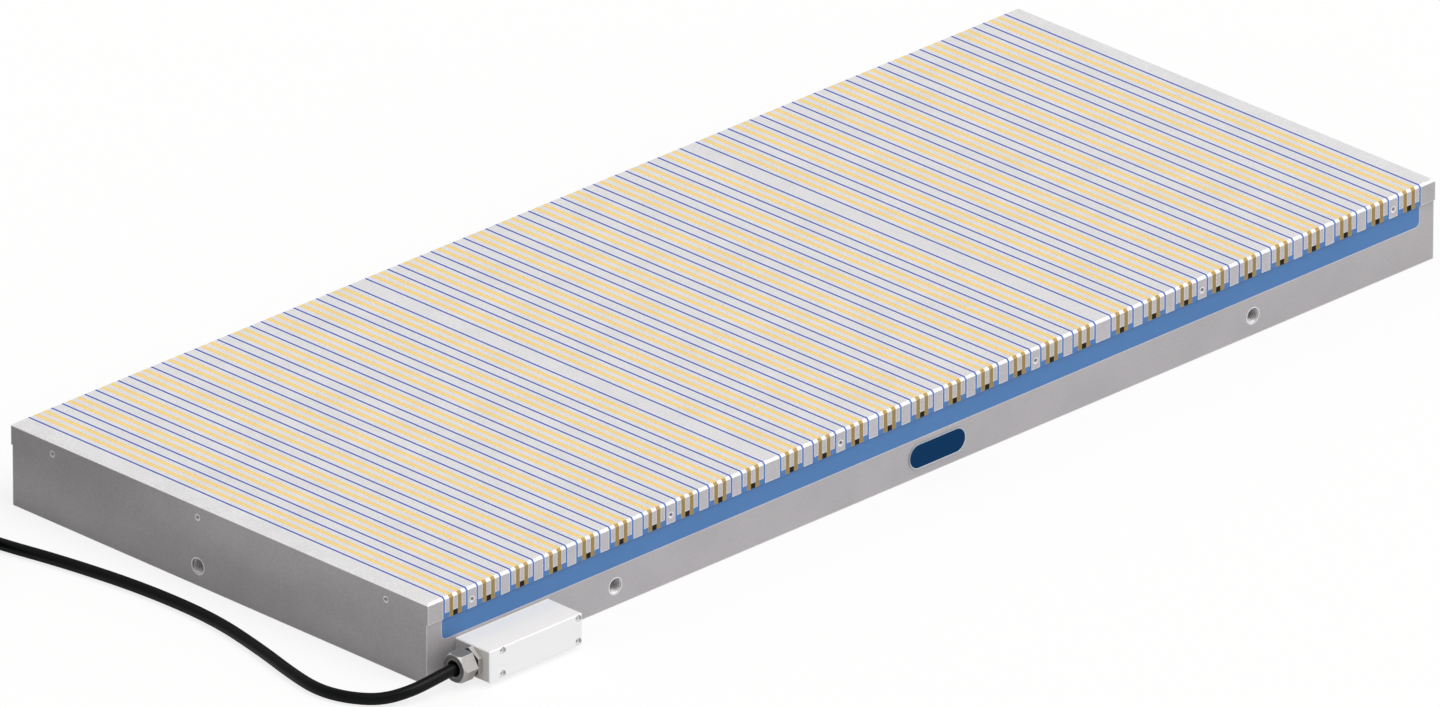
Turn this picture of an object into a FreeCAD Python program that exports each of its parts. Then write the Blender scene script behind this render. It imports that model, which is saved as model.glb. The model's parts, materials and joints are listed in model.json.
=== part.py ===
import FreeCAD, Part

import math
import os

# An electro-permanent magnetic chuck with parallel poles, in millimetres.
# Origin at the centre of the underside, +X along the length, +Z up, terminal box on the -Y side.

# ---------------------------------------------------------------- driving dimensions
# Steel body
WIDTH = 500.0
HEIGHT = 75.0
END_WALL = 17.75
EDGE_CHAMFER = 2.0
CHANNEL_FLOOR = 36.0  # height of the milled channel's floor
CHANNEL_CORNER = 5.0

# Pole plate: it stands out over the body along both long sides
PLATE_DEPTH = 19.5
PLATE_PROUD = 1.7
SECTIONS = 3
BLOCKS = 10  # laminated pole blocks in a section
RESIN_JOINT = 2.0
SIDE_LAMINATION = 5.0
BRASS_SPACER = 4.6
CENTRE_LAMINATION = 5.2
PLAIN_POLE = 10.3
SECTION_POLE = 17.2
BAR_MAGNET_HEIGHT = 5.0  # also the height of the relief under the ends of the laminations

# Magnet system under the plate, set back from the long sides
SETBACK = 14.0
SHOE_THICKNESS = 3.5

# Tapped holes: core diameter and depth
EYE_HOLE = (14.0, 28.0)  # M16, for lifting eyes
STOP_HOLE = (4.2, 12.0)  # M5, for stop rails
EYE_HOLE_INSET = 220.0
STOP_HOLE_DROP = 12.0
STOP_HOLE_INSET = 50.0
END_HOLE_OFFSET = 25.0
STOP_HOLE_POLES = ((1, 7), (2, 8), (3, 9))  # plain poles with a stop hole, by section

# Terminal box
BOX_LENGTH = 108.0
BOX_DEPTH = 40.3
BOX_HEIGHT = 29.0
BOX_INSET = 33.6
BOX_RAISE = 4.0
BOX_EDGE = 0.8
BOX_FRONT_WALL = 13.5
BOX_POCKET_INSET = (22.0, 12.0)  # pocket to the box's left and right ends
BOX_POCKET_HEIGHT = 17.0
BOX_SCREW_INSET = (15.4, 4.6)  # screws to the box's left and right ends
BOX_SCREW_EDGE = 4.0
SCREW_COUNTERBORE = (7.2, 11.0)  # M4 socket screws: diameter and depth
SEAL_WIDTH = 2.0
SEAL_THICKNESS = 1.4
SEAL_LAND = 1.2
SEAL_GROOVE_EASE = 0.2

# Terminal strip
STRIP_SIZE = (38.0, 12.0, 13.0)
STRIP_WAYS = 4
STRIP_GROOVE = (1.6, 3.0)  # width and depth, between the ways

# Wire passage, milled from the box's pocket into the body and up to the channel
PASSAGE = 12.0
PASSAGE_DEPTH = 16.0
PASSAGE_INSET = 14.0  # from the right end of the box's pocket
PASSAGE_SKIN = 4.0  # steel left in front of its upward part

# Cable gland, M20
GLAND_FLATS = 24.0
GLAND_THREAD = 20.0
GLAND_FLANGE = 5.0
GLAND_NECK = 15.0
GLAND_NUT_LENGTH = 15.2
GLAND_NUT_GAP = 1.8
GLAND_NUT_FACE = 24.4
GLAND_NUT_TAPER = 1.6  # length of the turned taper for each mm of radius
GLAND_RECESS = 3.5  # from the nut's face to the neck's end
GLAND_CLEARANCE = 0.2

# Cable, coiled away beyond the chuck's end
CABLE = 10.5
CABLE_SIDES = 12  # flats round the tube, which stands for a round cable
COIL_TURNS_ACROSS = 2
COIL_TURNS_UP = 3
COIL_MEAN_DIAMETER = 126.0
COIL_SIDES = 40
COIL_EASE = 0.5
TIE_WIDTH = 14.0
TIE_THICKNESS = 1.2
TAIL = 60.0

# Plug on the cable's far end
HOOD_WIDTH = 43.0
HOOD_LENGTH = 60.0
HOOD_CHAMFER = 5.0
HOOD_WALL = 4.0
HOOD_MOUTH_DEPTH = 24.0
HOOD_NECK = (20.0, 18.0)  # across its flats and length
INSERT_LENGTH = 15.0
INSERT_CLEARANCE = 0.3
BLADE = (1.2, 4.0, 8.0)  # each contact's thickness, height and reach
BLADE_PITCH = 9.0
BLADES = (2, 3)  # across and up

# ---------------------------------------------------------------- worked out from them
HALF_WIDTH = WIDTH / 2
BODY_HALF = HALF_WIDTH - PLATE_PROUD
CORE_HALF = HALF_WIDTH - SETBACK
PLATE_Z = HEIGHT - PLATE_DEPTH
LAMINATION_Z = PLATE_Z + BAR_MAGNET_HEIGHT
SHOE_Z = PLATE_Z - SHOE_THICKNESS

BLOCK = 2 * SIDE_LAMINATION + 2 * BRASS_SPACER + CENTRE_LAMINATION
BLOCK_PITCH = BLOCK + 2 * RESIN_JOINT + PLAIN_POLE
SECTION = BLOCKS * BLOCK_PITCH - PLAIN_POLE
FIELD = SECTIONS * SECTION + (SECTIONS - 1) * SECTION_POLE
HALF_FIELD = FIELD / 2
HALF_LENGTH = HALF_FIELD + END_WALL

BOX_X = -HALF_LENGTH + BOX_INSET
BOX_FRONT = -BODY_HALF - BOX_DEPTH
BOX_MID_Y = -BODY_HALF - BOX_DEPTH / 2
BOX_MID_Z = BOX_RAISE + BOX_HEIGHT / 2
POCKET_X = (BOX_X + BOX_POCKET_INSET[0], BOX_X + BOX_LENGTH - BOX_POCKET_INSET[1])
GLAND_LENGTH = GLAND_FLANGE + GLAND_NUT_GAP + GLAND_NUT_LENGTH
GLAND_THREAD_LENGTH = BOX_POCKET_INSET[0]

CABLE_R = CABLE / 2
COIL_INNER = (COIL_MEAN_DIAMETER - COIL_TURNS_ACROSS * CABLE) / 2
COIL_OUTER = COIL_INNER + COIL_TURNS_ACROSS * CABLE
COIL_HEIGHT = COIL_TURNS_UP * CABLE
COIL_LANE = COIL_OUTER - CABLE_R  # radius of the outermost turn's centreline
TAIL_Z = COIL_HEIGHT - CABLE_R
HOOD_HEIGHT = 2 * TAIL_Z

# The cable's route from the gland's face to the coil, a free curve along the floor.
GLAND_FACE = (BOX_X - GLAND_LENGTH, BOX_MID_Y, BOX_MID_Z)
CABLE_ROUTE = (
    GLAND_FACE,
    (-608.2, -267.1, 15.6),
    (-631.2, -262.6, 10.6),
    (-652.6, -249.3, CABLE_R),
    (-669.4, -228.5, CABLE_R),
    (-677.2, -199.8, CABLE_R),
    (-671.6, -164.1, CABLE_R),
    (-656.5, -107.0, CABLE_R),
    (-643.0, -38.0, CABLE_R),
    (-643.5, 45.0, CABLE_R),
    (-655.0, 130.0, CABLE_R),
    (-669.5, 195.0, CABLE_R),
    (-673.7, 245.0, CABLE_R),
)
COIL_CENTRE = (CABLE_ROUTE[-1][0] - COIL_LANE, CABLE_ROUTE[-1][1])
ARC_SHARE = 0.45  # of the shorter run, taken by each arc of the cable


# ---------------------------------------------------------------- helpers
def box(x, y, z):
    """A box from its (low, high) extents along each axis."""
    corner = FreeCAD.Vector(x[0], y[0], z[0])
    return Part.makeBox(x[1] - x[0], y[1] - y[0], z[1] - z[0], corner)


def rod(diameter, length, start, direction):
    """A round bar from a start point along a direction."""
    return Part.makeCylinder(diameter / 2, length, FreeCAD.Vector(*start), FreeCAD.Vector(*direction))


def across(x, width, lower):
    """A bar across the chuck under the top face, with both its ends chamfered.

    lower is the outline from the +Y end face inwards, as (y, z); the other half mirrors it.
    """
    right = [(HALF_WIDTH - EDGE_CHAMFER, HEIGHT), (HALF_WIDTH, HEIGHT - EDGE_CHAMFER)] + lower
    outline = right + [(-y, z) for y, z in reversed(right)]
    points = [FreeCAD.Vector(x, y, z) for y, z in outline]
    face = Part.Face(Part.makePolygon(points + points[:1]))
    return face.extrude(FreeCAD.Vector(width, 0, 0))


def regular(sides, radius, centre):
    """A regular polygon's wire, flat in XY."""
    turns = [2 * math.pi * k / sides for k in range(sides)]
    points = [centre + FreeCAD.Vector(math.cos(a), math.sin(a), 0) * radius for a in turns]
    return Part.makePolygon(points + points[:1])


def tapped_hole(size, mouth, inward):
    """The space of a blind tapped hole, at its core diameter."""
    core, depth = size
    return rod(core, depth, mouth, inward)


def hexagon(flats, length, turned=0.0):
    """A hexagonal bar from the origin along -X, a corner facing +Z, turned about X by degrees."""
    radius = flats / math.sqrt(3)
    corners = [math.radians(60 * k + 30 + turned) for k in range(6)]
    points = [FreeCAD.Vector(0, radius * math.cos(a), radius * math.sin(a)) for a in corners]
    face = Part.Face(Part.makePolygon(points + points[:1]))
    return face.extrude(FreeCAD.Vector(-length, 0, 0))


def turned_bar(outline):
    """A solid turned about the X axis from an outline of (x, radius)."""
    points = [FreeCAD.Vector(x, radius, 0) for x, radius in outline]
    face = Part.Face(Part.makePolygon(points + points[:1]))
    return face.revolve(FreeCAD.Vector(0, 0, 0), FreeCAD.Vector(1, 0, 0), 360)


# ---------------------------------------------------------------- pole plate
def section_starts():
    return [-HALF_FIELD + k * (SECTION + SECTION_POLE) for k in range(SECTIONS)]


def block_starts():
    """The x where each laminated block begins, after its resin joint."""
    return [start + RESIN_JOINT + k * BLOCK_PITCH for start in section_starts() for k in range(BLOCKS)]


def plain_pole_starts(section):
    start = section_starts()[section] + BLOCK + 2 * RESIN_JOINT
    return [start + k * BLOCK_PITCH for k in range(BLOCKS - 1)]


def webbed_pole(x, width):
    """A pole whose web, set back from the long sides, stands on the channel's floor."""
    return across(x, width, [(HALF_WIDTH, PLATE_Z), (CORE_HALF, PLATE_Z), (CORE_HALF, CHANNEL_FLOOR)])


def uncut_poles(section):
    return [webbed_pole(x, PLAIN_POLE) for x in plain_pole_starts(section)]


def plain_poles(section):
    """The plain poles of one section, two of them tapped for a stop rail."""
    poles = uncut_poles(section)
    starts = plain_pole_starts(section)
    for number in STOP_HOLE_POLES[section]:
        mouth = (starts[number - 1] + PLAIN_POLE / 2, -HALF_WIDTH, HEIGHT - STOP_HOLE_DROP)
        poles[number - 1] = poles[number - 1].cut(tapped_hole(STOP_HOLE, mouth, (0, 1, 0)))
    return poles


def section_poles():
    return [webbed_pole(start - SECTION_POLE, SECTION_POLE) for start in section_starts()[1:]]


def side_laminations():
    """Two to a block, relieved at their ends and seated on the pole shoe between them."""
    lower = [(HALF_WIDTH, LAMINATION_Z), (CORE_HALF, PLATE_Z)]
    far = BLOCK - SIDE_LAMINATION
    return [across(x + shift, SIDE_LAMINATION, lower) for x in block_starts() for shift in (0, far)]


def brass_spacers():
    near = SIDE_LAMINATION
    far = near + BRASS_SPACER + CENTRE_LAMINATION
    return [across(x + shift, BRASS_SPACER, [(HALF_WIDTH, PLATE_Z)]) for x in block_starts() for shift in (near, far)]


def centre_laminations():
    shift = SIDE_LAMINATION + BRASS_SPACER
    return [across(x + shift, CENTRE_LAMINATION, [(HALF_WIDTH, LAMINATION_Z)]) for x in block_starts()]


def bar_magnets():
    """The dark bars under the centre laminations, as long as the plate is wide."""
    shift = SIDE_LAMINATION + BRASS_SPACER
    ends = (-HALF_WIDTH, HALF_WIDTH)
    return [
        box((x + shift, x + shift + CENTRE_LAMINATION), ends, (PLATE_Z, LAMINATION_Z))
        for x in block_starts()
    ]


# ---------------------------------------------------------------- magnet system
def pole_shoes():
    ends = (-CORE_HALF, CORE_HALF)
    return [box((x, x + BLOCK), ends, (SHOE_Z, PLATE_Z)) for x in block_starts()]


def coiled_magnets():
    """Magnets with their windings, each taken as one block under its pole shoe."""
    ends = (-CORE_HALF, CORE_HALF)
    return [box((x, x + BLOCK), ends, (CHANNEL_FLOOR, SHOE_Z)) for x in block_starts()]


# ---------------------------------------------------------------- body and resin
def stock():
    """The chuck's outer form: the body with the proud pole plate, chamfered all round the top."""
    outline = [(HALF_WIDTH, PLATE_Z), (BODY_HALF, PLATE_Z), (BODY_HALF, 0)]
    block = across(-HALF_LENGTH, 2 * HALF_LENGTH, outline)
    for side in (-1, 1):
        corner = (side * HALF_LENGTH, HEIGHT)
        points = [
            FreeCAD.Vector(corner[0], -HALF_WIDTH, corner[1]),
            FreeCAD.Vector(corner[0], -HALF_WIDTH, corner[1] - EDGE_CHAMFER),
            FreeCAD.Vector(corner[0] - side * EDGE_CHAMFER, -HALF_WIDTH, corner[1]),
        ]
        face = Part.Face(Part.makePolygon(points + points[:1]))
        block = block.cut(face.extrude(FreeCAD.Vector(0, WIDTH, 0)))
    return block


def channel():
    """The channel milled through the stock from side to side, its floor corners rounded."""
    space = box((-HALF_FIELD, HALF_FIELD), (-HALF_WIDTH, HALF_WIDTH), (CHANNEL_FLOOR, HEIGHT))
    low = [
        e for e in space.Edges
        if abs(e.tangentAt(e.FirstParameter).y) > 0.5 and e.CenterOfMass.z < CHANNEL_FLOOR + 1
    ]
    return space.makeFillet(CHANNEL_CORNER, low)


def eye_holes():
    """Lifting-eye holes: two in each long side and one in each end."""
    z = CHANNEL_FLOOR / 2
    x = HALF_LENGTH - EYE_HOLE_INSET
    sides = [((side * x, face * BODY_HALF, z), (0, -face, 0)) for side in (-1, 1) for face in (-1, 1)]
    ends = [((side * HALF_LENGTH, END_HOLE_OFFSET, z), (-side, 0, 0)) for side in (-1, 1)]
    return [tapped_hole(EYE_HOLE, mouth, inward) for mouth, inward in sides + ends]


def end_stop_holes():
    """Stop-rail holes in the left end wall."""
    y = HALF_WIDTH - STOP_HOLE_INSET
    z = HEIGHT - STOP_HOLE_DROP
    return [tapped_hole(STOP_HOLE, (-HALF_LENGTH, at, z), (1, 0, 0)) for at in (-y, END_HOLE_OFFSET, y)]


def wire_passage():
    """The milled way for the wires: in from the box, then up to the channel."""
    middle = POCKET_X[1] - PASSAGE_INSET
    x = (middle - PASSAGE / 2, middle + PASSAGE / 2)
    back = -BODY_HALF + PASSAGE_DEPTH
    low = BOX_MID_Z - PASSAGE / 2
    inward = box(x, (-BODY_HALF, back), (low, low + PASSAGE))
    upward = box(x, (-BODY_HALF + PASSAGE_SKIN, back), (low, CHANNEL_FLOOR))
    return inward.fuse(upward)


def base_block():
    body = stock().cut(channel())
    return body.cut(eye_holes() + end_stop_holes() + [wire_passage()])


def potting_resin():
    """What the resin fills: the channel less everything that is set in it."""
    poles = section_poles() + sum([uncut_poles(section) for section in range(SECTIONS)], [])
    middle = BLOCK - 2 * SIDE_LAMINATION
    cores = [across(x + SIDE_LAMINATION, middle, [(HALF_WIDTH, PLATE_Z)]) for x in block_starts()]
    ends = (-CORE_HALF, CORE_HALF)
    pockets = [box((x, x + BLOCK), ends, (CHANNEL_FLOOR, PLATE_Z)) for x in block_starts()]
    filled = stock().common(channel())
    return filled.cut(poles + side_laminations() + cores + pockets).removeSplitter()


# ---------------------------------------------------------------- terminal box
def box_screw_places():
    """The four screws' (x, z)."""
    xs = (BOX_X + BOX_SCREW_INSET[0], BOX_X + BOX_LENGTH - BOX_SCREW_INSET[1])
    zs = (BOX_RAISE + BOX_SCREW_EDGE, BOX_RAISE + BOX_HEIGHT - BOX_SCREW_EDGE)
    return [(x, z) for x in xs for z in zs]


def seal_ring(grow):
    """The seal in the box's back face, its section grown all round by grow to give the groove."""
    inner = SEAL_LAND - grow
    outer = SEAL_LAND + SEAL_WIDTH + grow
    y = (-BODY_HALF - SEAL_THICKNESS - grow, -BODY_HALF)
    half = BOX_POCKET_HEIGHT / 2
    rings = [
        box((POCKET_X[0] - d, POCKET_X[1] + d), y, (BOX_MID_Z - half - d, BOX_MID_Z + half + d))
        for d in (outer, inner)
    ]
    return rings[0].cut(rings[1])


def terminal_box():
    """A block with a pocket in its back, four counterbores for its screws and the gland's hole."""
    x = (BOX_X, BOX_X + BOX_LENGTH)
    z = (BOX_RAISE, BOX_RAISE + BOX_HEIGHT)
    shell = box(x, (BOX_FRONT, -BODY_HALF), z)
    front = [e for e in shell.Edges if e.CenterOfMass.y < -BODY_HALF - 1]
    shell = shell.makeChamfer(BOX_EDGE, front)
    half = BOX_POCKET_HEIGHT / 2
    pocket = box(POCKET_X, (BOX_FRONT + BOX_FRONT_WALL, -BODY_HALF), (BOX_MID_Z - half, BOX_MID_Z + half))
    width, depth = SCREW_COUNTERBORE
    screws = [rod(width, depth, (at_x, BOX_FRONT, at_z), (0, 1, 0)) for at_x, at_z in box_screw_places()]
    thread = GLAND_THREAD + 2 * GLAND_CLEARANCE
    gland = rod(thread, GLAND_THREAD_LENGTH, (BOX_X, BOX_MID_Y, BOX_MID_Z), (1, 0, 0))
    return shell.cut(screws + [pocket, seal_ring(SEAL_GROOVE_EASE), gland])


def strip_box():
    """The terminal strip's (x, y, z) extents, seated on the box's front wall."""
    middle = (POCKET_X[0] + POCKET_X[1]) / 2 - PASSAGE_INSET / 2
    back = BOX_FRONT + BOX_FRONT_WALL
    length, depth, height = STRIP_SIZE
    return (
        (middle - length / 2, middle + length / 2),
        (back, back + depth),
        (BOX_MID_Z - height / 2, BOX_MID_Z + height / 2),
    )


def terminal_strip():
    """A moulded block with a groove between each pair of ways."""
    x, y, z = strip_box()
    width, depth = STRIP_GROOVE
    middles = [x[0] + k * STRIP_SIZE[0] / STRIP_WAYS for k in range(1, STRIP_WAYS)]
    grooves = [box((at - width / 2, at + width / 2), (y[1] - depth, y[1]), z) for at in middles]
    return box(x, y, z).cut(grooves)


# ---------------------------------------------------------------- cable gland
def at_gland(shape):
    """A gland piece made from a flange seat at the origin, the cable leaving along -X, put at the box."""
    shape.translate(FreeCAD.Vector(BOX_X, BOX_MID_Y, BOX_MID_Z))
    return shape


def gland_body():
    """Flange, inner thread and neck, bored for the cable."""
    neck = GLAND_LENGTH - GLAND_RECESS
    flange = hexagon(GLAND_FLATS, GLAND_FLANGE)
    thread = rod(GLAND_THREAD, GLAND_THREAD_LENGTH, (0, 0, 0), (1, 0, 0))
    sleeve = rod(GLAND_NECK, neck, (0, 0, 0), (-1, 0, 0))
    start = (GLAND_THREAD_LENGTH, 0, 0)
    bore = rod(CABLE + 2 * GLAND_CLEARANCE, neck + GLAND_THREAD_LENGTH, start, (-1, 0, 0))
    return at_gland(flange.fuse([thread, sleeve]).cut(bore))


def gland_nut():
    """A hexagon nut with its outer end turned round, bored for the neck."""
    near = GLAND_LENGTH - GLAND_NUT_LENGTH
    hexagonal = hexagon(GLAND_FLATS, GLAND_NUT_LENGTH, 30.0)
    hexagonal.translate(FreeCAD.Vector(-near, 0, 0))
    corner = GLAND_FLATS / math.sqrt(3)
    face = GLAND_NUT_FACE / 2
    shoulder = -GLAND_LENGTH + (corner - face) * GLAND_NUT_TAPER
    envelope = turned_bar([(0, 0), (0, corner), (shoulder, corner), (-GLAND_LENGTH, face), (-GLAND_LENGTH, 0)])
    mouth = rod(GLAND_NECK + 2 * GLAND_CLEARANCE, GLAND_NUT_LENGTH, (-near, 0, 0), (-1, 0, 0))
    return at_gland(hexagonal.common(envelope).cut(mouth))


def gland_jacket():
    """The stretch of the cable's jacket from the terminal strip to the gland's face."""
    return straight_cable((strip_box()[0][0], BOX_MID_Y, BOX_MID_Z), GLAND_FACE)


# ---------------------------------------------------------------- cable, coil and plug
def section_at(start, towards):
    """The cable's section at a point, facing another."""
    section = regular(CABLE_SIDES, CABLE_R, FreeCAD.Vector(0, 0, 0))
    start, towards = FreeCAD.Vector(*start), FreeCAD.Vector(*towards)
    section.Placement = FreeCAD.Placement(start, FreeCAD.Rotation(FreeCAD.Vector(0, 0, 1), towards - start))
    return section


def straight_cable(start, end):
    return Part.Face(section_at(start, end)).extrude(FreeCAD.Vector(*end) - FreeCAD.Vector(*start))


def cable():
    """A tube along straight runs joined by tangent arcs."""
    points = [FreeCAD.Vector(*p) for p in CABLE_ROUTE]
    edges, at, radii, length = [], points[0], [], 0.0
    for before, corner, after in zip(points, points[1:], points[2:]):
        inward, outward = (corner - before), (after - corner)
        cut = ARC_SHARE * min(inward.Length, outward.Length)
        inward.normalize()
        outward.normalize()
        half_turn = inward.getAngle(outward) / 2
        radius = cut / math.tan(half_turn)
        start, end = corner - inward * cut, corner + outward * cut
        middle = corner + (outward - inward).normalize() * (radius / math.cos(half_turn) - radius)
        edges += [Part.LineSegment(at, start).toShape(), Part.Arc(start, middle, end).toShape()]
        length += (start - at).Length + 2 * radius * half_turn
        radii.append(round(radius, 1))
        at = end
    edges.append(Part.LineSegment(at, points[-1]).toShape())
    length += (points[-1] - at).Length
    path = Part.Wire(edges)
    section = section_at(*CABLE_ROUTE[:2])
    tube = path.makePipeShell([section], True, False)
    wanted = Part.Face(section).Area * length
    print("cable arc radii", radii)
    print("cable length %.1f, volume over section times length %.4f" % (length, tube.Volume / wanted))
    return tube


def cable_coil():
    """The outer form of the put-away turns, with a step where the cable comes in and one where it leaves."""
    centre = FreeCAD.Vector(COIL_CENTRE[0], COIL_CENTRE[1], 0)
    outer, inner = COIL_OUTER + COIL_EASE, COIL_INNER - COIL_EASE
    disc, eye = [Part.Face(regular(COIL_SIDES, r, centre)) for r in (outer, inner)]
    ring = disc.cut(eye).extrude(FreeCAD.Vector(0, 0, COIL_HEIGHT))
    lane = (COIL_CENTRE[0] + COIL_LANE - CABLE_R - COIL_EASE, COIL_CENTRE[0] + outer)
    y = COIL_CENTRE[1]
    entry = box(lane, (y - outer, y), (0, CABLE + COIL_EASE))
    leaving = box(lane, (y, y + outer), (COIL_HEIGHT - CABLE - COIL_EASE, COIL_HEIGHT))
    return ring.cut([entry, leaving, tie_band()])


def tie_band():
    """The strap round the bundle, at the side away from the cable's ends."""
    x = (COIL_CENTRE[0] - COIL_OUTER - 1.5 - TIE_THICKNESS, COIL_CENTRE[0] - COIL_INNER + 1.5 + TIE_THICKNESS)
    y = (COIL_CENTRE[1] - TIE_WIDTH / 2, COIL_CENTRE[1] + TIE_WIDTH / 2)
    outside = box(x, y, (0, COIL_HEIGHT + TIE_THICKNESS))
    inside = box(
        (x[0] + TIE_THICKNESS, x[1] - TIE_THICKNESS), y, (TIE_THICKNESS, COIL_HEIGHT)
    )
    return outside.cut(inside)


def cable_tail():
    """The last stretch of cable, from the coil to the plug."""
    x, y, _ = CABLE_ROUTE[-1]
    return straight_cable((x, y, TAIL_Z), (x, y + TAIL, TAIL_Z))


def hood_box(y, inset=0.0):
    """A box round the plug's axis between two depths from the neck's end, inset on its four sides."""
    centre, start, _ = CABLE_ROUTE[-1]
    half = HOOD_WIDTH / 2 - inset
    ends = (start + TAIL + y[0], start + TAIL + y[1])
    return box((centre - half, centre + half), ends, (inset, HOOD_HEIGHT - inset))


def plug_hood():
    """The plug's hood: a chamfered shell with a hexagonal neck, open at its mating end."""
    length = HOOD_NECK[1] + HOOD_LENGTH
    shell = hood_box((HOOD_NECK[1], length))
    corners = [e for e in shell.Edges if abs(e.tangentAt(e.FirstParameter).y) > 0.5]
    shell = shell.makeChamfer(HOOD_CHAMFER, corners)
    neck = hexagon(*HOOD_NECK)
    neck.rotate(FreeCAD.Vector(0, 0, 0), FreeCAD.Vector(0, 0, 1), -90)
    neck.translate(FreeCAD.Vector(CABLE_ROUTE[-1][0], CABLE_ROUTE[-1][1] + TAIL, TAIL_Z))
    return shell.fuse(neck).cut(hood_box((length - HOOD_MOUTH_DEPTH, length), HOOD_WALL))


def plug_insert():
    """The insulating body that carries the contacts."""
    back = HOOD_NECK[1] + HOOD_LENGTH - HOOD_MOUTH_DEPTH
    return hood_box((back, back + INSERT_LENGTH), HOOD_WALL + INSERT_CLEARANCE)


def plug_contacts():
    """Flat blades that stand out of the insert."""
    front = CABLE_ROUTE[-1][1] + TAIL + HOOD_NECK[1] + HOOD_LENGTH - HOOD_MOUTH_DEPTH + INSERT_LENGTH
    thickness, height, reach = BLADE
    columns, rows = [[(k - (n - 1) / 2) * BLADE_PITCH for k in range(n)] for n in BLADES]
    corners = [(CABLE_ROUTE[-1][0] + a - thickness / 2, TAIL_Z + b - height / 2) for a in columns for b in rows]
    return [box((x, x + thickness), (front, front + reach), (z, z + height)) for x, z in corners]


# ---------------------------------------------------------------- export
def export(name, solids):
    shape = Part.makeCompound(solids) if isinstance(solids, list) else solids
    shape.exportStep("parts/%s.step" % name)


def main():
    os.makedirs("parts", exist_ok=True)
    laminations = side_laminations()
    per_section = 2 * BLOCKS
    nodes = {
        "base_block": base_block(),
        "potting_resin": potting_resin(),
        "section_poles": section_poles(),
        "brass_spacers": brass_spacers(),
        "centre_laminations": centre_laminations(),
        "bar_magnets": bar_magnets(),
        "pole_shoes": pole_shoes(),
        "coiled_magnets": coiled_magnets(),
        "terminal_box": terminal_box(),
        "terminal_box_seal": seal_ring(0.0),
        "terminal_strip": terminal_strip(),
        "gland_body": gland_body(),
        "gland_nut": gland_nut(),
        "gland_jacket": gland_jacket(),
        "cable": cable(),
        "cable_coil": cable_coil(),
        "cable_tail": cable_tail(),
        "coil_tie": tie_band(),
        "plug_hood": plug_hood(),
        "plug_insert": plug_insert(),
        "plug_contacts": plug_contacts(),
    }
    for section, name in enumerate(("left", "middle", "right")):
        nodes["plain_poles_" + name] = plain_poles(section)
        nodes["side_laminations_" + name] = laminations[section * per_section:(section + 1) * per_section]
    for name, solids in nodes.items():
        export(name, solids)


main()
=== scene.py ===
# %% [markdown]
# # Dressing a magnetic chuck
# The CAD model arrives as a fixed frame: every piece is already the right size and in the right place.
# This notebook adds a camera, light, real materials and a few small pieces that CAD leaves out.
# One Blender unit is one metre here, so sizes in millimetres are multiplied by the small value MM.

# %% Load the frame
import json
import math

import bmesh
import bpy
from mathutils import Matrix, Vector


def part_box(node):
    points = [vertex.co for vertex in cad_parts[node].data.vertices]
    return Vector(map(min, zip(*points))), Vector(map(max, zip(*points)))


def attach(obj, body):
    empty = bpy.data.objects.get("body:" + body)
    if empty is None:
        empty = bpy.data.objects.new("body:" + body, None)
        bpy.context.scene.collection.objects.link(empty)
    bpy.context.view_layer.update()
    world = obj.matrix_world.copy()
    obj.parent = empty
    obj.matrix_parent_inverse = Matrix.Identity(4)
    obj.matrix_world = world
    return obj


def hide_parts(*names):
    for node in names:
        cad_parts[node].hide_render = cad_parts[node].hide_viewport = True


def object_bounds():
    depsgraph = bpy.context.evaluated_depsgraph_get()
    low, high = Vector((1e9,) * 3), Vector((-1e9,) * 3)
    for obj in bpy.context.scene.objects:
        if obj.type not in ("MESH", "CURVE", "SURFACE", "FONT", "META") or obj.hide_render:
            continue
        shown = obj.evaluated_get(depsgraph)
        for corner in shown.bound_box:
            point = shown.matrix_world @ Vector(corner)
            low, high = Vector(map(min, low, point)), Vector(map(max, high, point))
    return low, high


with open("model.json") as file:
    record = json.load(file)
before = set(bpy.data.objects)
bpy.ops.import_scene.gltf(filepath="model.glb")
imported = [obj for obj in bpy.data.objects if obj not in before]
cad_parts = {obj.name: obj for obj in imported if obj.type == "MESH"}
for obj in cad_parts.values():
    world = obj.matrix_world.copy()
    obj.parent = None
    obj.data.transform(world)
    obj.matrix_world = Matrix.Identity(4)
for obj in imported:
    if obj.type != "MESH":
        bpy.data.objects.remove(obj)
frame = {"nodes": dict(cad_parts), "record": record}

MM = 0.001
cad_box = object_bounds()
print("CAD nodes:", len(frame["nodes"]))

# %% [markdown]
# ## Helpers
# Colours are written as they look on screen (sRGB hex), but shaders work in linear light, so one function
# converts them. A second adds a shader node, sets its options and links its inputs in one line. A third
# turns a mesh into an object that is part of the chuck.

# %% Colour, node and mesh helpers
def linear(hex_colour):
    """A screen colour such as "A0B0C0" as the linear RGBA that shaders use."""
    channels = [int(hex_colour[k:k + 2], 16) / 255 for k in (0, 2, 4)]
    return [c / 12.92 if c <= 0.04045 else ((c + 0.055) / 1.055) ** 2.4 for c in channels] + [1.0]


def add(tree, kind, inputs=None, **settings):
    """Adds a shader node. Each input is a value, or another node's output to link."""
    made = tree.nodes.new(kind)
    for name, value in settings.items():
        setattr(made, name, value)
    for name, value in (inputs or {}).items():
        if isinstance(value, bpy.types.NodeSocket):
            tree.links.new(value, made.inputs[name])
        else:
            made.inputs[name].default_value = value
    return made


def finished_piece(name, mesh, material):
    """A mesh as an object that rides with the chuck."""
    piece = bpy.data.objects.new(name, mesh)
    bpy.context.scene.collection.objects.link(piece)
    piece.data.materials.append(material)
    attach(piece, "root")
    return piece


print("white in linear light:", linear("FFFFFF"))

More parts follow.
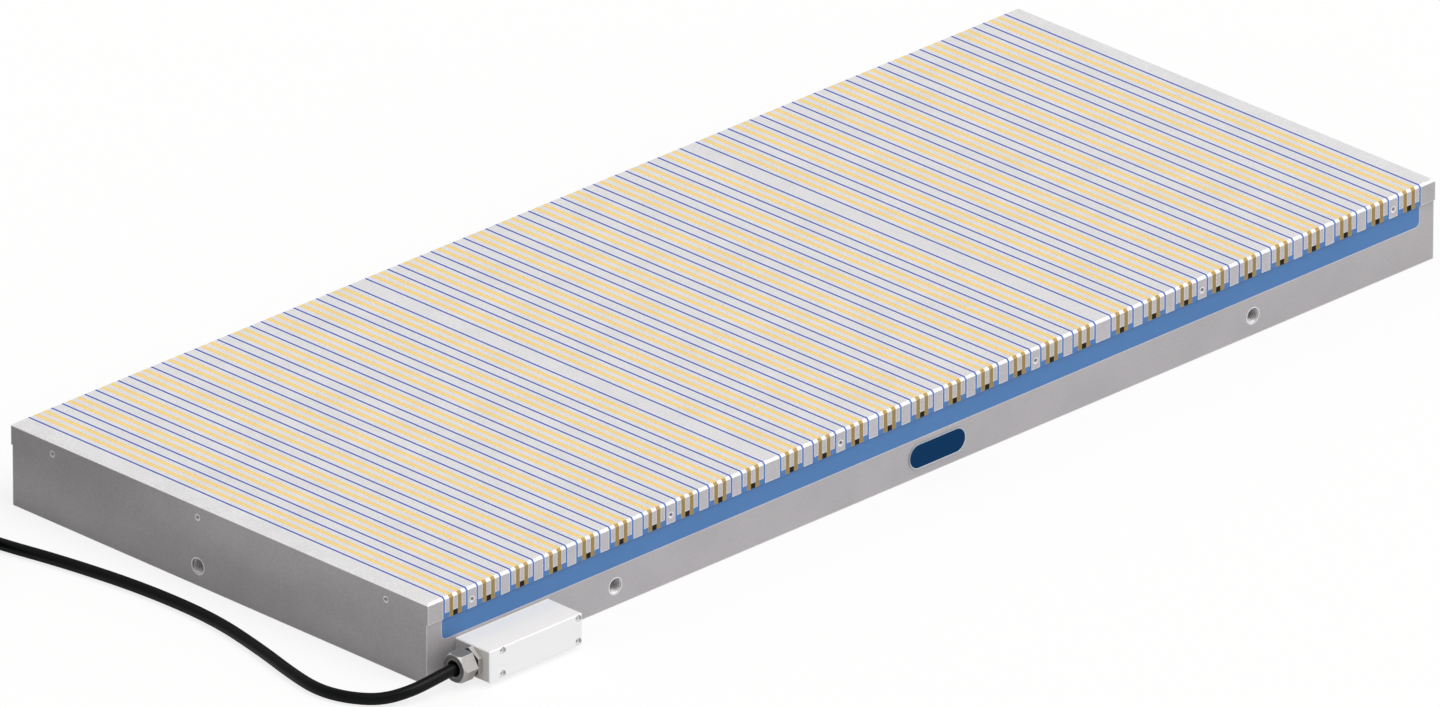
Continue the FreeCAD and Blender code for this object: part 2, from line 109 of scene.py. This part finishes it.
# %% [markdown]
# ## Camera
# The camera stands far away with a very long lens, so parallel edges stay very nearly parallel. Its
# direction is an azimuth and an elevation. It looks at a point inside the chuck, from a distance that fills
# the frame with this lens.

# %% Camera
AZIMUTH = math.radians(-44.810)
ELEVATION = math.radians(24.953)
DISTANCE = 28.0455  # metres
AIM = Vector((-23.8, -13.4, 37.5)) * MM
LENS = 830  # millimetres, on a 36 mm wide sensor

scene = bpy.context.scene
camera = bpy.data.objects.new("camera", bpy.data.cameras.new("camera"))
scene.collection.objects.link(camera)
scene.camera = camera
camera.data.lens = LENS
camera.data.sensor_width = 36
camera.data.clip_start = 1  # metres, nearest and farthest that it sees
camera.data.clip_end = 60
level = math.cos(ELEVATION)
back = Vector((math.sin(AZIMUTH) * level, -math.cos(AZIMUTH) * level, math.sin(ELEVATION)))
camera.location = AIM + back * DISTANCE
camera.rotation_mode = "QUATERNION"
camera.rotation_quaternion = (-back).to_track_quat("-Z", "Y")
print("camera at", [round(v, 2) for v in camera.location])

# %% [markdown]
# ## World
# A slightly warm grey glow from all sides stands for the walls of a studio. Camera rays that miss
# everything see plain white instead, so the backdrop is clean while the steel still mirrors a softer tone.

# %% World
scene.view_settings.view_transform = "Standard"

world = bpy.data.worlds.new("studio")
scene.world = world
world.use_nodes = True
sky = world.node_tree
sky.nodes.clear()
seen = add(sky, "ShaderNodeLightPath").outputs["Is Camera Ray"]
glow = add(sky, "ShaderNodeBackground", {"Color": linear("E7E5E3"), "Strength": 0.75})
white = add(sky, "ShaderNodeBackground", {"Color": linear("FFFFFF"), "Strength": 1.0})
choice = add(sky, "ShaderNodeMixShader", {0: seen, 1: glow.outputs[0], 2: white.outputs[0]})
add(sky, "ShaderNodeOutputWorld", {"Surface": choice.outputs[0]})
print("world:", world.name)

# %% [markdown]
# ## Lamps
# A sun lamp with a wide angle acts like a large softbox. The key comes from above, so the top is the
# brightest face. A weaker fill from the front lifts the long side, and the left end stays the darkest.

# %% Two soft suns
def sun(name, direction, strength, width):
    """A sun shining along a direction, with a soft edge of that many degrees."""
    lamp = bpy.data.objects.new(name, bpy.data.lights.new(name, "SUN"))
    lamp.data.energy = strength
    lamp.data.angle = math.radians(width)
    lamp.rotation_mode = "QUATERNION"
    lamp.rotation_quaternion = Vector(direction).to_track_quat("-Z", "Y")
    scene.collection.objects.link(lamp)


sun("key", direction=(-0.15, 0.45, -1.0), strength=1.6, width=40)
sun("front_fill", direction=(-0.25, 1.0, -0.35), strength=0.5, width=60)

# %% [markdown]
# ## Floor
# The chuck lies on seamless white paper. Most of what the camera sees of the paper glows white by itself,
# and the rest is a matt surface that takes the chuck's soft shadow.

# %% Paper floor
FLOOR_REACH = 8  # metres from the middle to each edge
PAPER_DROP = 0.3  # millimetres under the chuck, so that the two faces don't fight
PAPER_GLOW = 0.8  # share of white light in what the camera sees

floor_mesh = bpy.data.meshes.new("floor")
shape = bmesh.new()
bmesh.ops.create_grid(shape, x_segments=1, y_segments=1, size=FLOOR_REACH)
shape.to_mesh(floor_mesh)
floor = bpy.data.objects.new("floor", floor_mesh)
scene.collection.objects.link(floor)
floor.location.z = -PAPER_DROP * MM

paper = bpy.data.materials.new("matt_white_paper")  # matt, so it shows no highlight
paper.use_nodes = True
tree = paper.node_tree
tree.nodes.clear()
seen = add(tree, "ShaderNodeLightPath").outputs["Is Camera Ray"]
matt = add(tree, "ShaderNodeBsdfDiffuse", {"Color": linear("F2F2F2")})
lit = add(tree, "ShaderNodeEmission", {"Color": linear("FFFFFF"), "Strength": 1.0})
share = add(tree, "ShaderNodeMath", {0: seen, 1: PAPER_GLOW}, operation="MULTIPLY")
blend = add(tree, "ShaderNodeMixShader", {0: share.outputs[0], 1: matt.outputs[0], 2: lit.outputs[0]})
add(tree, "ShaderNodeOutputMaterial", {"Surface": blend.outputs[0]})
floor_mesh.materials.append(paper)
print("floor:", paper.name)

# %% [markdown]
# ## One material, colours by facing with painted light
# Each face takes a colour by the way it points: top, long side, end or chamfer. This is partly the real
# finish, ground on top and milled on the sides, and partly painted light and shade: the end is painted darker
# and a chamfer gets a painted highlight. The shader asks which way the surface faces and picks the colour, so
# one material dresses a whole piece. The height of the face's normal says how flat it lies: 0 is upright, 1
# is level, and a chamfer is in between.

# %% Painted edge highlights
EDGE_WIDTH = 1.6  # millimetres over which a sharp edge is bright
EDGE_STARTS, EDGE_FULL = 0.99, 0.80  # cosines between the rounded and the flat normal
EDGE_SHARE = 0.7


def painted_edge_highlight(tree):
    """A share that grows towards sharp edges, where the chamfer colour is mixed in as a painted highlight."""
    rounded = add(tree, "ShaderNodeBevel", {"Radius": EDGE_WIDTH * MM}, samples=4).outputs[0]
    flat = add(tree, "ShaderNodeNewGeometry").outputs["True Normal"]
    alike = add(tree, "ShaderNodeVectorMath", {0: rounded, 1: flat}, operation="DOT_PRODUCT")
    limits = {"From Min": EDGE_STARTS, "From Max": EDGE_FULL, "To Min": 0.0, "To Max": EDGE_SHARE}
    return add(tree, "ShaderNodeMapRange", {"Value": alike.outputs["Value"], **limits}).outputs[0]


# sharp edges are brightened as a painted highlight
print("painted edge highlight:", EDGE_WIDTH, "mm")

# %% Colour and painted light by the way a face points
UPRIGHT, SLOPE_LOW, SLOPE_HIGH, LEVEL = 0.45, 0.60, 0.80, 0.92  # heights of the face's normal
END_FACING = 0.9  # a normal this far along X belongs to an end


def colour_and_painted_light_by_facing(tree, front, end, chamfer, top):
    """The base colour of a piece by the way that each of its faces points: partly its finish, partly painted
    light and shade, with a painted highlight on chamfers and edges.
    """
    normal = add(tree, "ShaderNodeNewGeometry").outputs["True Normal"]
    facing = add(tree, "ShaderNodeSeparateXYZ", {0: normal})
    upward = add(tree, "ShaderNodeValToRGB", {0: facing.outputs["Z"]})
    ramp = upward.color_ramp
    ramp.elements[0].position, ramp.elements[0].color = UPRIGHT, linear(front)
    ramp.elements[1].position, ramp.elements[1].color = SLOPE_LOW, linear(chamfer)
    for place, colour in ((SLOPE_HIGH, chamfer), (LEVEL, top)):
        ramp.elements.new(place).color = linear(colour)
    sideways = add(tree, "ShaderNodeMath", {0: facing.outputs["X"]}, operation="ABSOLUTE").outputs[0]
    is_end = add(tree, "ShaderNodeMath", {0: sideways, 1: END_FACING}, operation="GREATER_THAN").outputs[0]
    faces = add(tree, "ShaderNodeMixRGB", {"Fac": is_end, "Color1": upward.outputs[0], "Color2": linear(end)})
    # sharp edges take the chamfer colour: a painted highlight
    edges = {"Fac": painted_edge_highlight(tree), "Color1": faces.outputs[0], "Color2": linear(chamfer)}
    return add(tree, "ShaderNodeMixRGB", edges).outputs[0]


def one_colour(tree, colour):
    """A single colour as a node's output."""
    source = add(tree, "ShaderNodeRGB")
    source.outputs[0].default_value = linear(colour)
    return source.outputs[0]


# the four colours by facing carry painted light and shade as well as the finish
print("finishes: front, end, chamfer, top")

# %% [markdown]
# ## Cloud and grain
# No real surface has one even colour. Noise at two scales breaks it up: broad cloudy patches, and a fine
# speckle that counts three times as much. The same speckle also moves the roughness a little and raises a
# shallow relief. A texture's scale is one over the size of its features, so each is given in millimetres.

# %% A surface with cloud and grain
SPECKLE = 3.0  # weight of the fine noise against the broad one
NOISE_LOW, NOISE_HIGH = 1.6, 2.4  # where their sum is taken as darkest and lightest
GRAIN_LOW, GRAIN_HIGH = 0.3, 0.7  # the usual range of the fine noise alone
ROUGHNESS_SWING = 0.06
RELIEF = 0.5  # strength of the bump


def per_mm(size):
    """A texture's scale for features that are this many millimetres across."""
    return 1 / (size * MM)


def surface(name, colour_of, metallic, roughness, grain, cloud, bump, variation, shine=0.5):
    """A material whose colour varies in clouds and grain, each this many millimetres across."""
    material = bpy.data.materials.new(name)
    material.use_nodes = True
    tree = material.node_tree
    tree.nodes.clear()
    place = add(tree, "ShaderNodeTexCoord").outputs["Object"]
    fine_noise = {"Vector": place, "Scale": per_mm(grain), "Detail": 4.0}
    broad_noise = {"Vector": place, "Scale": per_mm(cloud), "Detail": 2.0}
    fine = add(tree, "ShaderNodeTexNoise", fine_noise).outputs[0]
    broad = add(tree, "ShaderNodeTexNoise", broad_noise).outputs[0]
    both = add(tree, "ShaderNodeMath", {0: fine, 1: SPECKLE, 2: broad}, operation="MULTIPLY_ADD")
    light = add(tree, "ShaderNodeMapRange", {
        "Value": both.outputs[0], "From Min": NOISE_LOW, "From Max": NOISE_HIGH,
        "To Min": 1 - variation, "To Max": 1 + variation,
    })
    tinted = {0: colour_of(tree), "Scale": light.outputs[0]}
    colour = add(tree, "ShaderNodeVectorMath", tinted, operation="SCALE")
    rough = add(tree, "ShaderNodeMapRange", {
        "Value": fine, "From Min": GRAIN_LOW, "From Max": GRAIN_HIGH,
        "To Min": roughness - ROUGHNESS_SWING, "To Max": roughness + ROUGHNESS_SWING,
    })
    relief = add(tree, "ShaderNodeBump", {"Height": fine, "Strength": RELIEF, "Distance": bump * MM})
    shader = add(tree, "ShaderNodeBsdfPrincipled", {
        "Base Color": colour.outputs[0], "Metallic": metallic, "Roughness": rough.outputs[0],
        "Normal": relief.outputs[0], "Specular IOR Level": shine,
    })
    add(tree, "ShaderNodeOutputMaterial", {"Surface": shader.outputs[0]})
    return material


print("a 1 mm grain has scale", per_mm(1))

# %% Two kinds of piece
TOOL_MARK = 1.3  # millimetres: real grinding marks are finer, and are drawn this coarse so that they show
MILLING_CLOUD = 38  # millimetres, the size of a patch that one pass of the tool leaves
MARK_DEPTH = 0.02
MOULD_CLOUD = 25


def painted_light_by_facing(name, front, end, chamfer, top, metallic, roughness, variation=0.05):
    """A piece coloured by the way its faces point: four colours that hold its finish together with painted
    light and shade.
    """
    def colours(tree):
        return colour_and_painted_light_by_facing(tree, front, end, chamfer, top)

    return surface(name, colours, metallic, roughness, TOOL_MARK, MILLING_CLOUD, MARK_DEPTH, variation)


def even(name, colour, metallic, roughness, grain, bump, variation=0.04, shine=0.5):
    """A moulded, cast or coated piece of one colour, with its own grain and relief in millimetres."""
    def colours(tree):
        return one_colour(tree, colour)

    return surface(name, colours, metallic, roughness, grain, MOULD_CLOUD, bump, variation, shine)


print("tool marks:", TOOL_MARK, "mm")

# %% [markdown]
# ## Metals
# The body is milled steel with a ground top. The laminations and poles are ground steel too, and a shade
# lighter. The spacers between them are brass, which carries no magnetism. Ground metal scatters light so
# widely that it looks half like paint, so its metallic value is kept low and its colour does the work: each
# face's colour holds its finish together with painted light and shade.

# %% Steel, brass and plated materials
materials = {
    # milled on the sides, ground bright on top; the darker end is painted shade and the bright chamfer a
    # painted highlight
    "body": painted_light_by_facing("milled_steel_body", "A7A4A7", "9B999C", "F2F1F2", "E4E4E6", 0.25, 0.42, 0.08),
    # laminations and poles, ground together with the top; the darker end is painted shade and the bright
    # chamfer a painted highlight
    "pole": painted_light_by_facing("ground_steel_poles", "B2AFB4", "AEACAF", "F4F4F5", "E2E2E5", 0.25, 0.38, 0.07),
    # sawn in front and ground on top; the dull front, bright yellow top and lighter chamfer are partly that
    # finish, partly painted light and shade
    "brass": painted_light_by_facing("ground_brass_spacers", "8E7743", "8E7743", "B49556", "FAD886", 0.20, 0.38),
    # turned, then plated: grey flats, darker ends painted as shade and a bright rim painted as a highlight
    "nickel": painted_light_by_facing("nickel_plated_gland", "9A9795", "636062", "DAD8D7", "8A8681", 0.45, 0.40, 0.05),
    # the bright ring at a tapped hole's mouth: a painted highlight for the light on the countersink's cone
    "edge": even("countersink_painted_highlight", "DCDCDE", 0.25, 0.35, grain=0.5, bump=0.01),
    # pale zinc, so the screws hardly stand out from the box
    "screw": even("bright_zinc_screws", "E6E6E7", 0.15, 0.45, grain=0.5, bump=0.01),
    # blades of the plug, the most mirror-like metal here
    "silver": even("silver_plated_contacts", "D9D9D6", 0.95, 0.22, grain=0.4, bump=0.005),
    # polished edge of the badge
    "rim": even("bright_badge_rim", "B9C3CC", 0.7, 0.3, grain=0.5, bump=0.01),
}
print("metals:", len(materials))

# %% [markdown]
# ## Resin, enamel, rubber and plastic
# The gaps between the poles are filled with cast blue resin, ground flush with the steel. The terminal box
# is sprayed with white enamel. None of these shows bare metal, so light goes a little way in and comes back
# coloured, and only a thin clear reflection lies on top.

# %% Resin, enamel, rubber and plastic materials
materials.update({
    # potting of one blue resin, painted a deeper blue on top, lighter on the front band and lightest on
    # chamfers: painted light and shade by facing
    "resin": painted_light_by_facing("cast_blue_resin", "3C6EA6", "3C6EA6", "4E70C0", "1C3EA8", 0.0, 0.5),
    # satin white enamel; its lighter top and chamfers and darker end are painted light and shade, and its
    # light edges a painted highlight
    "enamel": painted_light_by_facing("white_enamel_box", "DFE0E2", "C4C2BF", "EDEDEE", "EDEBE9", 0.0, 0.5, 0.012),
    # sintered blocks, unpainted and almost black
    "magnet": even("dark_bar_magnets", "111011", 0.0, 0.6, 0.8, 0.03, 0.04, 0.15),
    # red-brown varnish, hidden under the plate
    "winding": even("varnished_windings", "6B2F14", 0.1, 0.4, 0.6, 0.05),
    # moulded seals, with hardly any shine
    "rubber": even("black_rubber_seal", "0B0C0C", 0.0, 0.6, 0.7, 0.04, 0.04, 0.25),
    # extruded jacket, smoother than the seals, with one soft highlight along it
    "jacket": even("black_cable_jacket", "060808", 0.0, 0.34, 0.8, 0.03, 0.12, 0.12),
    # ivory plastic, hidden in the box
    "strip": even("moulded_terminal_strip", "D8D2C4", 0.0, 0.5, 0.8, 0.02),
    # powder coat on a die casting, finely pebbled
    "hood": even("powder_coated_hood", "8A8D8F", 0.2, 0.5, 0.6, 0.05, 0.06),
    # glass-filled plastic round the contacts
    "insert": even("moulded_contact_insert", "303234", 0.0, 0.45, 0.9, 0.02),
    # hook-and-loop tape, rough and matt
    "strap": even("woven_black_strap", "141517", 0.0, 0.75, 0.5, 0.12, 0.15),
    # bare field of the badge
    "navy": even("navy_badge_enamel", "023056", 0.0, 0.5, 1.2, 0.01, 0.03, 0.04),
})
print("materials:", len(materials))

# %% [markdown]
# ## Dress the CAD pieces
# Each CAD node has material slots already. Filling a slot changes the look and leaves the shape alone.

# %% Which piece wears what
kinds_of_steel = ("plain_poles", "side_laminations")
sections = ("left", "middle", "right")
dressing = {
    "body": ["base_block"],
    "pole": ["section_poles", "centre_laminations", "pole_shoes"]
    + [kind + "_" + section for kind in kinds_of_steel for section in sections],
    "brass": ["brass_spacers"],
    "resin": ["potting_resin"],
    "magnet": ["bar_magnets"],
    "winding": ["coiled_magnets"],
    "enamel": ["terminal_box"],
    "nickel": ["gland_body", "gland_nut"],
    "rubber": ["terminal_box_seal"],
    "jacket": ["gland_jacket"],
    "strip": ["terminal_strip"],
    "hood": ["plug_hood"],
    "insert": ["plug_insert"],
    "silver": ["plug_contacts"],
    "strap": ["coil_tie"],
}
for finish, nodes in dressing.items():
    for node in nodes:
        for place in frame["nodes"][node].material_slots:
            place.material = materials[finish]
print("dressed nodes:", sum(len(nodes) for nodes in dressing.values()))

# %% [markdown]
# ## The cable's route
# The cable leaves its gland, drops to the floor and runs back along the chuck's end, in the loose curve of
# something stiff that lies where it was put. The points are the cable's centreline in millimetres. On the
# floor the centreline lies half a diameter up.

# %% Route from the gland to the coil
CABLE = 10.5
FLOOR_Z = CABLE / 2

gland_low, gland_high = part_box("gland_nut")
gland_face = Vector((gland_low.x, (gland_low.y + gland_high.y) / 2, (gland_low.z + gland_high.z) / 2)) / MM
route = [
    tuple(gland_face),
    (-608.2, -267.1, 15.6), (-631.2, -262.6, 10.6), (-652.6, -249.3, FLOOR_Z), (-669.4, -228.5, FLOOR_Z),
    (-677.2, -199.8, FLOOR_Z), (-671.6, -164.1, FLOOR_Z), (-656.5, -107.0, FLOOR_Z), (-643.0, -38.0, FLOOR_Z),
    (-643.5, 45.0, FLOOR_Z), (-655.0, 130.0, FLOOR_Z), (-669.5, 195.0, FLOOR_Z),
]
COIL_ENTRY = (-673.7, 245.0)
print("route points:", len(route))

# %% [markdown]
# ## The coil
# The rest is put away in four turns. The first winds inwards on the floor, from the outer lane to the inner
# one. The second and third each climb the inner lane by one diameter. The last winds outwards on top. All
# of them change lane over the same part of the circle, so a turn that climbs past its neighbour goes round
# it on a quarter circle. Their centrelines stay about one diameter apart: the smooth curve brings them up to
# 0.3 mm nearer, and a soft jacket gives that much.

# %% Turns of the coil
OUTER_LANE = 68.25
INNER_LANE = OUTER_LANE - CABLE
STEPS = 24  # points in a turn
TURNS = 4
CHANGE_STARTS, CHANGE_TAKES = 60, 270  # degrees round the coil


def lane_at(turn, angle):
    """The (radius, height) of the coil's centreline in one turn, at degrees round it."""
    passed = min(max((angle - CHANGE_STARTS) / CHANGE_TAKES, 0), 1)
    beside, above = math.cos(passed * math.pi / 2), math.sin(passed * math.pi / 2)
    if turn == 0:
        return INNER_LANE + CABLE * beside, FLOOR_Z
    if turn < TURNS - 1:
        return INNER_LANE, FLOOR_Z + CABLE * (turn - 1 + above)
    return INNER_LANE + CABLE * math.sqrt(1 - (1 - above) ** 2), FLOOR_Z + 2 * CABLE


def coil_points():
    """The turns, a little outside their own circle because the curve cuts inside its points."""
    reach = 1 / math.cos(math.pi / STEPS)
    centre = (COIL_ENTRY[0] - OUTER_LANE, COIL_ENTRY[1])
    points = []
    for step in range(TURNS * STEPS + 1):
        turn = min(step // STEPS, TURNS - 1)
        degrees = (step - turn * STEPS) * 360 / STEPS
        radius, height = lane_at(turn, degrees)
        angle = math.radians(degrees)
        x = centre[0] + radius * reach * math.cos(angle)
        y = centre[1] + radius * reach * math.sin(angle)
        points.append((x, y, height))
    return points


hood_low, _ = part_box("plug_hood")
top_of_coil = FLOOR_Z + 2 * CABLE
RUN_OUT = 20  # the last turn leaves the coil in a straight line
plug_y = hood_low.y / MM
tail = [(COIL_ENTRY[0], COIL_ENTRY[1] + RUN_OUT, top_of_coil), (COIL_ENTRY[0], plug_y, top_of_coil)]
path = [Vector(p) * MM for p in route + coil_points() + tail]
print("cable points:", len(path))

# %% [markdown]
# ## The cable itself
# One NURBS curve with a round bevel follows the points smoothly, and its ends are capped. It takes the
# place of the plain tubes and ring that the CAD holds.

# %% Cable
line = bpy.data.curves.new("cable_line", "CURVE")
line.dimensions = "3D"
line.bevel_depth = CABLE / 2 * MM
line.bevel_resolution = 6
line.resolution_u = 8
line.use_fill_caps = True
spline = line.splines.new("NURBS")
spline.points.add(len(path) - 1)
for point, at in zip(spline.points, path):
    point.co = (*at, 1)
spline.order_u = 3
spline.use_endpoint_u = True
line.materials.append(materials["jacket"])
cable = bpy.data.objects.new("cable_line", line)
scene.collection.objects.link(cable)
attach(cable, "root")
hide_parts("cable", "cable_coil", "cable_tail")
print("cable diameter:", CABLE, "mm")

# %% [markdown]
# ## Small turned pieces
# A lathe makes these on the real chuck, and the same idea makes them here: a profile of (distance, radius)
# points is swept once round an axis. It gives a seal ring, a screw's head or the bright edge of a hole.

# %% A helper for turned pieces
ON_THE_AXIS = 0.01  # millimetres, a smaller radius needs no faces round it
WELD = 1e-7  # metres, corners closer than this become one
ROUND = 48  # flat sides that stand for a circle


def turned(name, profile, start, along, material, segments=ROUND):
    """A piece turned round an axis that begins at start and points along, sizes in millimetres."""
    along = Vector(along)
    side = along.orthogonal().normalized()
    up = along.cross(side)
    shape = bmesh.new()
    rings = []
    for k in range(segments):
        angle = 2 * math.pi * k / segments
        out = side * math.cos(angle) + up * math.sin(angle)
        rings.append([shape.verts.new((Vector(start) + along * d + out * r) * MM) for d, r in profile])
    for k, ring in enumerate(rings):
        following = rings[(k + 1) % segments]
        for a in range(len(profile)):
            b = (a + 1) % len(profile)
            if profile[a][1] > ON_THE_AXIS or profile[b][1] > ON_THE_AXIS:
                shape.faces.new((ring[a], ring[b], following[b], following[a]))
    bmesh.ops.remove_doubles(shape, verts=shape.verts, dist=WELD)
    bmesh.ops.recalc_face_normals(shape, faces=shape.faces)
    mesh = bpy.data.meshes.new(name)
    shape.to_mesh(mesh)
    return finished_piece(name, mesh, material)


print("sides of a turned piece:", ROUND)

# %% [markdown]
# ## Seal ring and box screws
# A rubber ring closes the gland's mouth round the cable. Four cap screws hold the box, and their heads sit
# deep in counterbores in its front. Each head has a round socket for the key.

# %% Seal ring
SEAL_SEAT = 3.3  # the ring starts this far inside the nut's face
seal = [(0, 7.3), (2.0, 7.3), (2.6, 6.9), (2.6, 6.2), (2.0, 5.6), (0, 5.6)]
seal_start = gland_face + Vector((SEAL_SEAT, 0, 0))
turned("gland_seal_ring", seal, seal_start, (-1, 0, 0), materials["rubber"])
print("seal ring at x =", round(seal_start.x, 1))

# %% Box screws
SCREW_SEAT = 10.8  # depth of the heads' seats under the box's face
GLAND_END_INSET, FAR_END_INSET, ROW_INSET = 15.4, 4.6, 4.0  # from the box's edges to the screws
head = [(0, 0.02), (0, 3.5), (8.2, 3.5), (8.5, 3.2), (8.5, 1.6), (6.6, 1.6), (6.6, 0.02)]

box_low, box_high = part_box("terminal_box")
box_face = box_low.y / MM
columns = (box_low.x / MM + GLAND_END_INSET, box_high.x / MM - FAR_END_INSET)
rows = (box_low.z / MM + ROW_INSET, box_high.z / MM - ROW_INSET)
places = [(x, box_face + SCREW_SEAT, z) for x in columns for z in rows]
for number, seat in enumerate(places, start=1):
    turned("box_screw_%d" % number, head, seat, (0, -1, 0), materials["screw"], 36)
print("box screws:", len(places))

# %% [markdown]
# ## Where the tapped holes are
# The record lists the holes as mounts. A lifting eye has a mount of its own. The small holes of the stop
# rails come in pairs, each with a middle and a spacing. The left end has a third one between its pair, in
# line with the lifting eye below it. M16 threads have a 2 mm pitch and M5 threads 0.8 mm.

# %% Tapped holes from the record
EYE_PITCH, STOP_PITCH = 2.0, 0.8
EYE_THREAD, STOP_THREAD = 22, 10  # depths in millimetres

mounts = frame["record"]["mounts"]
holes = [(m["name"], Vector(m["pos_m"]) / MM, m["axis"], m["dims"]["r_mm"], EYE_PITCH, EYE_THREAD)
         for m in mounts if m["kind"] == "threaded_hole"]
for m in mounts:
    if m["kind"] == "bolt_pattern":
        along = Vector((0, 1, 0)) if abs(m["axis"][0]) > 0.5 else Vector((1, 0, 0))
        reach = along * m["dims"]["spacing_x_mm"] / 2
        for end, shift in (("a", -reach), ("b", reach)):
            mouth = Vector(m["pos_m"]) / MM + shift
            radius = m["dims"]["hole_r_mm"]
            holes.append((m["name"] + "_" + end, mouth, m["axis"], radius, STOP_PITCH, STOP_THREAD))
mouth_of = {name: mouth for name, mouth, *_ in holes}
third = Vector(mouth_of["stop_holes_left_a"])
third.y = mouth_of["eye_hole_left"].y
holes.append(("stop_hole_left_middle", third, (-1, 0, 0), radius, STOP_PITCH, STOP_THREAD))
print("tapped holes:", len(holes))

# %% [markdown]
# ## Threads and mouths with a painted highlight
# A thread shows as fine ridges. Each ridge is a strip with a flat crest that follows a helix down the bore.
# Where a countersink has cut the surface, a thin flat ring lies round the hole's mouth, coloured bright as a
# painted highlight for the light on the countersink's cone.

# %% Threads
RIDGE_FOOT, RIDGE_CREST = 0.40, 0.06  # half widths, as shares of the pitch
RIDGE_HEIGHT = 0.45  # as a share of the pitch
FIRST_TURN = 0.6  # pitches inside the mouth
RING_WIDTH, RING_SLOPE = 0.9, 0.2
BORE_GAP = 0.1  # between the bore and its ring
PROUD = 0.05  # how far a ring stands off its face


def thread(name, mouth, inward, radius, pitch, depth, steps=40):
    """A helical ridge on the wall of a bore, sizes in millimetres."""
    inward = Vector(inward)
    side = inward.orthogonal().normalized()
    up = inward.cross(side)
    crest = radius - RIDGE_HEIGHT * pitch
    profile = ((-RIDGE_FOOT, radius), (-RIDGE_CREST, crest), (RIDGE_CREST, crest), (RIDGE_FOOT, radius))
    shape = bmesh.new()
    rows = []
    for k in range(int(depth / pitch * steps)):
        angle = 2 * math.pi * k / steps
        out = side * math.cos(angle) + up * math.sin(angle)
        at = Vector(mouth) + inward * (pitch * (FIRST_TURN + k / steps))
        rows.append([shape.verts.new((at + inward * pitch * d + out * r) * MM) for d, r in profile])
    for before, after in zip(rows, rows[1:]):
        for a in range(len(profile) - 1):
            shape.faces.new((before[a], before[a + 1], after[a + 1], after[a]))
    mesh = bpy.data.meshes.new(name)
    shape.to_mesh(mesh)
    return finished_piece(name, mesh, materials["body"])


rings_made = 0
for name, mouth, axis, radius, pitch, depth in holes:
    thread("thread_" + name, mouth, -Vector(axis), radius, pitch, depth)
    inner, outer = radius + BORE_GAP, radius + BORE_GAP + RING_WIDTH
    ring = [(0, inner), (0, outer), (PROUD, outer - RING_SLOPE), (PROUD, inner)]
    if (mouth.x + axis[0] * PROUD) * MM <= cad_box[1].x:  # a ring on the right end would leave the CAD's box
        # the ring's bright colour is a painted highlight
        turned("edge_" + name, ring, mouth, axis, materials["edge"])
        rings_made += 1
print("threads:", len(holes), "rings:", rings_made)

# %% [markdown]
# ## Badge
# The plate on the front is a stadium: two half circles joined by straight sides. Its field is bare enamel
# and its rim is bright metal, almost a millimetre wide and slightly raised.

# %% Badge plate
BADGE_LENGTH, BADGE_HEIGHT, BADGE_THICKNESS = 67.5, 23.0, 1.0
BADGE_Z = 19.5
RIM_WIDTH, RIM_RISE = 0.9, 0.25


def badge(sides=48):
    """The plate, standing on the body's front face."""
    radius = BADGE_HEIGHT / 2 * MM
    straight = BADGE_LENGTH / 2 * MM - radius
    face_y = mouth_of["eye_hole_front_left"].y * MM
    shape = bmesh.new()
    outline = []
    for k in range(sides):
        angle = 2 * math.pi * (k + 0.5) / sides
        x = math.copysign(straight, math.cos(angle)) + radius * math.cos(angle)
        outline.append(shape.verts.new((x, face_y, BADGE_Z * MM + radius * math.sin(angle))))
    front = shape.faces.new(outline)
    raised = bmesh.ops.extrude_face_region(shape, geom=[front])["geom"]
    moved = [v for v in raised if isinstance(v, bmesh.types.BMVert)]
    bmesh.ops.translate(shape, verts=moved, vec=(0, -BADGE_THICKNESS * MM, 0))
    field = [f for f in raised if isinstance(f, bmesh.types.BMFace)]
    bmesh.ops.inset_region(shape, faces=field, thickness=RIM_WIDTH * MM, depth=-RIM_RISE * MM)
    bmesh.ops.recalc_face_normals(shape, faces=shape.faces)
    for face in shape.faces:
        face.material_index = 0 if face in field else 1
    mesh = bpy.data.meshes.new("badge")
    shape.to_mesh(mesh)
    plate = finished_piece("badge", mesh, materials["navy"])
    plate.data.materials.append(materials["rim"])
    return plate


plate = badge()
print("badge corners:", len(plate.data.vertices))
